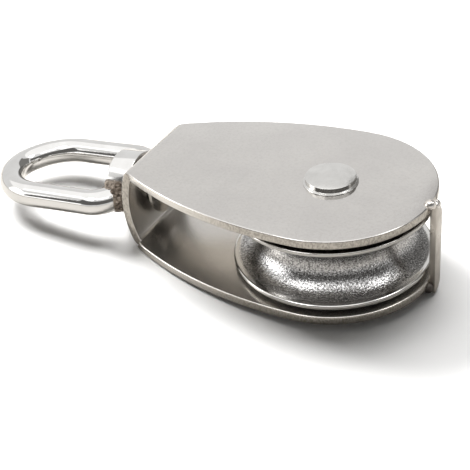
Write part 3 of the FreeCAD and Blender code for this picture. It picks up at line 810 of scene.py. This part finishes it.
# The finishes. Scales are cells to the metre and scratchWidth is a share of a cell. grainHeight and
# scratchDepth are shares of bumpDepth, and the other lengths are in metres.

steelLook = dict(
    colour=(0.61, 0.59, 0.565, 1),
    cloudColour=(0.57, 0.55, 0.53, 1),
    edgeColour=(0.90, 0.89, 0.87, 1),
    roughness=(0.10, 0.16),
    stretch=(0.25, 1, 1),
    grainScale=3500.0,
    cloudScale=70.0,
    cloudSpan=(0.35, 0.65),
    dullSpan=(0.3, 0.7),
    grainHeight=0.5,
    scratchScale=45.0,
    scratchWidth=0.006,
    scratchAmount=0.3,
    scratchDepth=0.5,
    wearWidth=0.00018,
    wearGain=4.0,
    wearSpan=(0.35, 0.6),
    wearPolish=0.15,
    bumpDepth=0.000008,
)
rivetLook = dict(
    steelLook, colour=(0.66, 0.65, 0.63, 1), cloudColour=(0.58, 0.57, 0.55, 1), roughness=(0.12, 0.22),
    cloudScale=220.0, stretch=(1, 0.3, 1), grainScale=900.0, bumpDepth=0.00006)
tieLook = dict(
    steelLook, colour=(0.50, 0.47, 0.425, 1), cloudColour=(0.40, 0.37, 0.335, 1), roughness=(0.25, 0.42),
    cloudScale=220.0, stretch=(1, 1, 0.2), grainScale=5000.0, wearWidth=0.0003, bumpDepth=0.00002)
bushLook = dict(
    steelLook, colour=(0.62, 0.44, 0.23, 1), cloudColour=(0.50, 0.35, 0.18, 1),
    edgeColour=(0.75, 0.58, 0.34, 1), roughness=(0.3, 0.45))
rivetSteel = steelMaterial("rivetSteel", rivetLook)
barSteel = steelMaterial("barSteel", tieLook)
bushBronze = steelMaterial("bushBronze", bushLook)

strapLook = dict(
    steelLook, paintedInnerShadeColour=(0.58, 0.555, 0.52, 1), innerRoughness=0.27,
    dustColour=(0.50, 0.48, 0.46, 1), dustScale=1500.0, dustSpan=(0.45, 0.75), dustMost=0.45,
    cutColour=(0.46, 0.435, 0.395, 1), cutDarkColour=(0.28, 0.26, 0.23, 1), cutSpan=(0.38, 0.58),
    # The cutBright settings give the sheared side a painted reflection that grows towards the fold.
    cutPaintedReflectionColour=(0.80, 0.775, 0.73, 1), cutPaintedReflectionSpan=(-0.012, -0.036), cutPaintedReflectionMost=0.75,
    cutPaintedReflectionEnd=(-0.0495, -0.0470), cutRoughness=0.26, cutGrain=2600.0, cutStretch=(1, 1, 0.6),
    cutDepth=0.00004)


def strapMaterial(look):
    # Satin rolled faces, rougher inside and a little darker there as painted shade, and the speckled sheared
    # sides of the sheet.
    material, tree, place, grain, colour, rough = startMetal("strapSteel", look)
    wear = wornEdges(tree, grain, look)
    cut = outputOf(tree, "ShaderNodeAttribute", socket="Fac", attribute_name="cutFace")
    inner = outputOf(tree, "ShaderNodeAttribute", socket="Fac", attribute_name="innerFace")
    speckle = useGroup(tree, grainGroup, {"Vector": place, "Stretch": look["cutStretch"],
                                          "Scale": look["cutGrain"], "Cloud Scale": look["dustScale"]})
    dusty = stretchValue(tree, speckle["Cloud"], *look["dustSpan"], 0.0, look["dustMost"])
    # The faces that look at the sheave are painted a little darker: painted shade between the cheeks.
    colour = mixColour(tree, inner, colour, look["paintedInnerShadeColour"])
    colour = mixColour(tree, dusty, colour, look["dustColour"])
    # The sheared side is painted lighter along the cheek towards the fold, a painted reflection, and ends
    # plain on the bridge.
    along = outputOf(tree, "ShaderNodeSeparateXYZ", {"Vector": place}, "X")
    towardsFold = stretchValue(tree, along, *look["cutPaintedReflectionSpan"], 0.0, look["cutPaintedReflectionMost"])
    bright = product(tree, towardsFold, stretchValue(tree, along, *look["cutPaintedReflectionEnd"]))
    coarse = stretchValue(tree, speckle["Grain"], *look["cutSpan"])
    side = mixColour(tree, coarse, look["cutDarkColour"], look["cutColour"])
    side = mixColour(tree, bright, side, look["cutPaintedReflectionColour"])
    colour = mixColour(tree, cut, colour, side)
    colour = mixColour(tree, wear, colour, look["edgeColour"])
    rough = mixValue(tree, inner, rough, look["innerRoughness"])
    rough = mixValue(tree, cut, rough, look["cutRoughness"])
    rough = difference(tree, rough, product(tree, wear, look["wearPolish"]))
    rolled = scratchedHeight(tree, place, grain, look)
    sheared = product(tree, speckle["Grain"], look["cutDepth"] / look["bumpDepth"])
    finishMetal(tree, colour, rough, mixValue(tree, cut, rolled, sheared), look)
    return material


strapSteel = strapMaterial(strapLook)

# The sides' turning marks are a sine of the radius, and markRate is in radians to the metre.
sheaveLook = dict(
    steelLook, colour=(0.62, 0.61, 0.59, 1), cloudColour=(0.55, 0.54, 0.52, 1), roughness=(0.05, 0.10),
    stretch=(1, 1, 1), grainScale=2700.0, cloudScale=120.0, wearWidth=0.0002, bumpDepth=0.000075,
    blastRoughness=0.05, blastHeight=1.0, grooveColour=(0.40, 0.395, 0.39, 1),
    paintedGlintColour=(0.66, 0.655, 0.65, 1), paintedGlintSpan=(0.56, 0.66), paintedPitShadeColour=(0.12, 0.118, 0.115, 1),
    paintedPitShadeSpan=(0.52, 0.38), rimBand=0.00685, bandBlur=0.00012, rimFrom=0.0249,
    paintedRimShadeColour=(0.42, 0.41, 0.39, 1), markRate=4200.0, markHeight=0.02)


def sheaveMaterial(look):
    # Polished, finely turned sides and rims; the groove between them is blasted, with painted glints and
    # painted shade in its pits.
    material, tree, place, grain, colour, smooth = startMetal("sheaveSteel", look)
    wear = wornEdges(tree, grain, look)
    height = mathNode(tree, "ABSOLUTE", outputOf(tree, "ShaderNodeSeparateXYZ", {"Vector": place}, "Z"))
    inGroove = stretchValue(tree, height, look["rimBand"], look["rimBand"] - look["bandBlur"])
    flat = vectorNode(tree, "MULTIPLY", {0: place, 1: (1, 1, 0)})
    radius = vectorNode(tree, "LENGTH", {0: flat}, "Value")
    # The rim's outer face is painted darker than the polished sides: a painted dark reflection.
    onRim = mathNode(tree, "GREATER_THAN", radius, look["rimFrom"])
    # Painted shade: dark specks of colour in the groove's pits.
    paintedPitShade = product(tree, stretchValue(tree, grain["Grain"], *look["paintedPitShadeSpan"]), inGroove)
    # Painted glints: bright specks of colour in the groove that stand in for sparkle highlights.
    paintedGlints = product(tree, stretchValue(tree, grain["Grain"], *look["paintedGlintSpan"]), inGroove)
    for share, layer in ((onRim, "paintedRimShadeColour"), (inGroove, "grooveColour"), (paintedPitShade, "paintedPitShadeColour"),
                         (paintedGlints, "paintedGlintColour"), (wear, "edgeColour")):
        colour = mixColour(tree, share, colour, look[layer])
    rough = mixValue(tree, inGroove, smooth, look["blastRoughness"])
    blast = product(tree, product(tree, grain["Grain"], look["blastHeight"]), inGroove)
    marks = mathNode(tree, "SINE", product(tree, radius, look["markRate"]))
    turned = product(tree, product(tree, marks, look["markHeight"]), difference(tree, 1.0, inGroove))
    finishMetal(tree, colour, rough, mathNode(tree, "ADD", blast, turned), look)
    return material


sheaveSteel = sheaveMaterial(sheaveLook)

# The seam's place and width are in millimetres from the swivel's pivot, its turn in degrees.
eyeLook = dict(
    steelLook, colour=(0.67, 0.663, 0.65, 1), cloudColour=(0.61, 0.60, 0.585, 1),
    edgeColour=(0.80, 0.79, 0.78, 1), roughness=(0.05, 0.10), stretch=(1, 1, 1), grainScale=1800.0,
    cloudScale=110.0, scratchScale=70.0, bumpDepth=0.000004, rawColour=(0.27, 0.23, 0.19, 1),
    rawRoughness=0.48, rawDepth=0.00005, seamX=-5.31, seamY=10.26, seamTurn=28.0, seamWidth=0.25)


def eyeMaterial(look):
    # Mirror polish that stops at a seam near each weld, where a wheel can't reach.
    material, tree, place, grain, colour, smooth = startMetal("eyeSteel", look)
    apart = addNode(tree, "ShaderNodeSeparateXYZ", {"Vector": place}).outputs
    turn = radians(look["seamTurn"])
    width = look["seamWidth"] * millimetre
    fromX = difference(tree, apart["X"], swivel["pos_m"][0] + look["seamX"] * millimetre)
    fromY = difference(tree, mathNode(tree, "ABSOLUTE", apart["Y"]), look["seamY"] * millimetre)
    past = difference(tree, product(tree, fromX, cos(turn)), product(tree, fromY, sin(turn)))
    ragged = product(tree, difference(tree, grain["Grain"], 0.5), width)
    raw = stretchValue(tree, mathNode(tree, "ADD", past, ragged), 0.0, width)
    colour = mixColour(tree, raw, colour, look["rawColour"])
    rough = mixValue(tree, raw, smooth, look["rawRoughness"])
    deeper = product(tree, raw, look["rawDepth"] / look["bumpDepth"])
    height = product(tree, grain["Grain"], mathNode(tree, "ADD", deeper, 1.0))
    finishMetal(tree, colour, rough, height, look)
    return material


eyeSteel = eyeMaterial(eyeLook)
collarSteel = steelMaterial("collarSteel", dict(eyeLook, roughness=(0.08, 0.16)))

weldLook = dict(
    steelLook, colour=(0.29, 0.25, 0.21, 1), cloudColour=(0.09, 0.07, 0.055, 1),
    edgeColour=(0.38, 0.34, 0.30, 1), roughness=(0.26, 0.45), stretch=(1, 1, 1), grainScale=1900.0,
    cloudScale=520.0, bumpDepth=0.00012)
tackLook = dict(
    weldLook, colour=(0.74, 0.72, 0.69, 1), cloudColour=(0.58, 0.54, 0.50, 1),
    edgeColour=(0.80, 0.78, 0.75, 1), roughness=(0.14, 0.30), bumpDepth=0.00002)
# The lower tack is near black and rough.
nearBlackLook = dict(
    weldLook, colour=(0.045, 0.04, 0.036, 1), cloudColour=(0.10, 0.09, 0.08, 1),
    edgeColour=(0.3, 0.28, 0.26, 1), roughness=(0.3, 0.5))
weldMetal = steelMaterial("weldMetal", weldLook)
nearBlackMetal = steelMaterial("nearBlackMetal", nearBlackLook)
tackMetal = steelMaterial("tackMetal", tackLook)
print("materials built")


# The welds: rows of beads, run together

weldSizes = dict(
    voxel=0.11,
    flareTurn=64.0,
    rows=((-0.4, 3.1, 0.8), (0.5, 3.35, 0.95), (1.4, 3.6, 0.95)),
    rowBeads=13,
    topBeadRadius=1.15,
    topBeadSpacing=1.5,
    topBeadRise=0.5,
    lumpHeight=0.75,
    lumpScale=1.1,
)
tackSizes = dict(
    voxel=0.07,
    beadRadius=1.45,
    sink=0.2,
    capRadius=1.1,
    capBeads=2,
    capSpacing=0.65,
    capDrop=1.0,
    lumpHeight=0.3,
    lumpScale=0.9,
)


def beadMesh(name, beads):
    mesh = plainMesh(name, [bead[:3] for bead in beads])
    radii = mesh.attributes.new("beadRadius", "FLOAT", "POINT")
    radii.data.foreach_set("value", [bead[3] for bead in beads])
    return mesh


def ringWeldBeads(side):
    # Rows of beads round the bar where it runs into the collar, and a short run on top.
    sizes = weldSizes
    corner = ringSizes["cornerRadius"]
    turn = radians(sizes["flareTurn"])
    centre = Vector((ringSizes["line"] - corner + corner * sin(turn),
                     side * (ringSizes["halfWidth"] - corner + corner * cos(turn)), 0))
    along = Vector((cos(turn), -side * sin(turn), 0))
    out = Vector((sin(turn), side * cos(turn), 0))
    beads = []
    for row, (reach, radius, bead) in enumerate(sizes["rows"]):
        for n in range(sizes["rowBeads"]):
            # Every other row lies half a bead further round.
            angle = tau * (n + 0.5 * (row % 2)) / sizes["rowBeads"]
            spot = centre + along * reach + out * radius * cos(angle)
            spot += Vector((0, 0, 1)) * radius * sin(angle)
            beads.append((*spot, bead))
    for step in (-1, 0, 1):
        beads.append((ringSizes["line"] + step * sizes["topBeadSpacing"],
                      side * (boxOf("swivel_collar")[1].y - sizes["topBeadRise"]),
                      ringSizes["barRadius"] + sizes["topBeadRise"], sizes["topBeadRadius"]))
    return beads


def tackBeads():
    # The upper tack is a bead beside the bar and a cap on it, the lower one a single bead.
    sizes = tackSizes
    low, high = boxOf("tie_bar")
    face, sink, radius = boxOf("side_strap")[1].z, sizes["sink"], sizes["beadRadius"]
    upper = [(low.x, low.y, face - sink, radius)]
    for step in range(sizes["capBeads"]):
        upper.append(((low.x + high.x) / 2, (low.y + high.y) / 2 - step * sizes["capSpacing"],
                      face - sizes["capDrop"], sizes["capRadius"]))
    return upper, [(low.x, low.y - sink, -face - sink, radius)]


def putWeld(name, beads, sizes, material, seed, body, node, turn=None):
    # Millimetres throughout, so the voxel and the lumps are millimetres as well.
    mesh = builtByNodes(name, beadMesh(name, beads), weldTree, {
        "Voxel": sizes["voxel"], "Lump Height": sizes["lumpHeight"], "Lump Scale": sizes["lumpScale"],
        "Seed": seed, "Material": material})
    putInPlace(name, mesh, material, body, node, turn)


# The pieces, each in the place of its CAD node

putInPlace("folded_strap", strapMesh(), strapSteel, "block", "side_strap")
print("strap built")
putInPlace("grooved_sheave", sheaveMesh(), sheaveSteel, "sheave", "sheave")
putInPlace("plain_bush", bushMesh(), bushBronze, "sheave", "sheave_bush")
putInPlace("headed_rivet", rivetMesh(), rivetSteel, "block", "axle_rivet")
putInPlace("tip_bar", tieBarMesh(), barSteel, "block", "tie_bar")
print("sheave, rivet and tie bar built")
putInPlace("round_collar", collarMesh(), collarSteel, "eye", "swivel_collar", eyePlace)
putInPlace("headed_stud", studMesh(), rivetSteel, "eye", "swivel_stud", eyePlace)
putInPlace("bent_ring", ringMesh(eyeSteel), eyeSteel, "eye", "eye_ring", eyePlace)
putWeld("near_weld_run", ringWeldBeads(-1), weldSizes, weldMetal, 2.0, "eye", "ring_weld_near", eyePlace)
putWeld("far_weld_run", ringWeldBeads(1), weldSizes, weldMetal, 7.0, "eye", "ring_weld_far", eyePlace)
upperBeads, lowerBeads = tackBeads()
putWeld("upper_tack", upperBeads, tackSizes, tackMetal, 3.0, "block", "tie_weld_upper")
putWeld("lower_tack", lowerBeads, tackSizes, nearBlackMetal, 5.0, "block", "tie_weld_lower")
print("eye and welds built")


# The studio and the camera

studio = dict(
    floorSize=6.0,
    floorColour=(0.92, 0.915, 0.905, 1),
    mirroredFloor=(0.62, 0.598, 0.566, 1),
    floorFade=(0.16, 0.34),
    roomColour=(0.13, 0.13, 0.13, 1),
    white=(1, 1, 1, 1),
    cardDistance=0.95,
    cardColour=(1.0, 0.98, 0.95, 1),
    cardSteps=24,
)
# Each lamp's place and size in metres, its radiance, and whether it shows in metal or lights the floor.
lamps = {
    "broad_box": ((-0.50, -0.03, 0.62), (1.70, 0.80), 0.45, "metal"),
    "front_box": ((0.29, -0.48, 0.83), (0.60, 0.20), 1.6, "metal"),
    "front_left_box": ((-0.25, -0.50, 0.83), (0.36, 0.22), 6.5, "metal"),
    "front_right_box": ((0.53, 0.16, 0.83), (0.36, 0.22), 6.5, "metal"),
    "left_side_box": ((-0.88, -0.37, 0.29), (0.30, 0.30), 7.0, "metal"),
    "low_box": ((-0.80, -0.52, 0.24), (0.80, 0.40), 1.3, "metal"),
    "ring_box": ((-0.43, -0.51, 0.66), (0.90, 0.16), 0.8, "metal"),
    "key_box": ((-0.10, 0.30, 0.80), (0.60, 0.50), 7.8, "floor"),
    "left_box": ((-0.70, 0.25, 0.67), (0.42, 0.42), 27.0, "floor"),
}
# Dark stretches of the room: azimuth, half turn, lowest and highest elevation in degrees, and strength.
darkStretches = {
    "dark_front": (-59.0, 78.0, 7.0, 38.0, 0.16),
    "dark_right": (62.0, 34.0, 6.0, 50.0, 0.27),
}
cameraView = dict(
    target=(-20.16, -13.58, 0.0),
    azimuth=-59.248,
    elevation=33.978,
    roll=-5.768,
    distance=271.888,
    lens=84.656,
    sensor=36.0,
)


def directionTo(azimuth, elevation):
    turn, lift = radians(azimuth), radians(elevation)
    return Vector((cos(lift) * cos(turn), cos(lift) * sin(turn), sin(lift)))


def seenRays(tree):
    # 1 for the rays that show a surface or a reflection, 0 for those that only light other things.
    path = addNode(tree, "ShaderNodeLightPath").outputs
    mirrored = mathNode(tree, "MAXIMUM", path["Is Glossy Ray"], path["Is Transmission Ray"])
    return mathNode(tree, "MAXIMUM", path["Is Camera Ray"], mirrored)


def buildFloor():
    # The block lies on its rivet tail and on the lower fold, so the floor is a little tilted to it.
    half = studio["floorSize"] / 2
    corners = [(-half, -half, 0), (half, -half, 0), (half, half, 0), (-half, half, 0)]
    floor = newObject("pale_floor", plainMesh("pale_floor", corners, faces=[(0, 1, 2, 3)]))
    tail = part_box("axle_rivet")[0].z
    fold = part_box("side_strap")[0].z
    floor.location.z = tail
    floor.rotation_euler.y = atan2((fold - tail) / millimetre, strapSizes["cheekReach"])
    material, tree = newMaterial("paleFloor")
    # A plain pale floor round the block, seen as white as the room further out.
    # Bright metal mirrors a darker floor throughout.
    place = outputOf(tree, "ShaderNodeTexCoord", socket="Object")
    away = vectorNode(tree, "LENGTH", {0: place}, "Value")
    faded = product(tree, seenRays(tree), stretchValue(tree, away, *studio["floorFade"]))
    mirrored = outputOf(tree, "ShaderNodeLightPath", socket="Is Glossy Ray")
    colour = mixColour(tree, mirrored, studio["floorColour"], studio["mirroredFloor"])
    glow = mixColour(tree, mirrored, studio["white"], studio["mirroredFloor"])
    diffuse = outputOf(tree, "ShaderNodeBsdfDiffuse", {"Color": colour})
    white = outputOf(tree, "ShaderNodeEmission", {"Color": glow, "Strength": 1.0})
    showShader(tree, "ShaderNodeMixShader", {0: faded, 1: diffuse, 2: white})
    floor.data.materials.append(material)


def buildRoom():
    # White where it is seen, also in bright metal; a quiet grey as a light.
    world = bpy.data.worlds.new("paleRoom")
    world.use_nodes = True
    tree = world.node_tree
    tree.nodes.clear()
    colour = mixColour(tree, seenRays(tree), studio["roomColour"], studio["white"])
    showShader(tree, "ShaderNodeBackground", {"Color": colour, "Strength": 1.0}, "ShaderNodeOutputWorld")
    scene.world = world


def buildLamps():
    for name, (place, size, radiance, shows) in lamps.items():
        light = bpy.data.lights.new(name, "AREA")
        light.shape = "RECTANGLE"
        light.size, light.size_y = size
        light.energy = radiance * pi * size[0] * size[1]
        lamp = newObject(name, light)
        # The broad one lies flat above the block, the others face it.
        aim = Vector((0, 0, 1)) if name == "broad_box" else Vector(place)
        lamp.matrix_world = Matrix.Translation(place) @ aim.to_track_quat("Z", "Y").to_matrix().to_4x4()
        lamp.visible_camera = False
        lamp.visible_glossy = shows == "metal"
        lamp.visible_diffuse = shows == "floor"


def buildDarkStretches():
    # The unlit parts of the room, which give bright metal its dark lines.
    steps = studio["cardSteps"]
    for name, (azimuth, halfTurn, low, high, strength) in darkStretches.items():
        material, tree = newMaterial(name)
        showShader(tree, "ShaderNodeEmission", {"Color": studio["cardColour"], "Strength": strength})
        turns = [azimuth + halfTurn * (2 * n / steps - 1) for n in range(steps + 1)]
        points = [directionTo(turn, lift) * studio["cardDistance"] for turn in turns for lift in (low, high)]
        faces = [(2 * n, 2 * n + 1, 2 * n + 3, 2 * n + 2) for n in range(steps)]
        card = newObject(name, plainMesh(name, points, faces=faces))
        card.data.materials.append(material)
        card.visible_camera = card.visible_diffuse = card.visible_shadow = False


def buildCamera():
    view = cameraView
    data = bpy.data.cameras.new("photo_camera")
    data.lens = view["lens"]
    data.sensor_width = view["sensor"]
    camera = newObject("photo_camera", data)
    toward = directionTo(view["azimuth"], view["elevation"])
    place = (Vector(view["target"]) + toward * view["distance"]) * millimetre
    level = toward.to_track_quat("Z", "Y").to_matrix().to_4x4()
    rolled = Matrix.Rotation(radians(view["roll"]), 4, "Z")
    camera.matrix_world = Matrix.Translation(place) @ level @ rolled
    scene.camera = camera


buildFloor()
buildRoom()
buildLamps()
buildDarkStretches()
buildCamera()
scene.view_settings.view_transform = "Standard"
print("studio built")
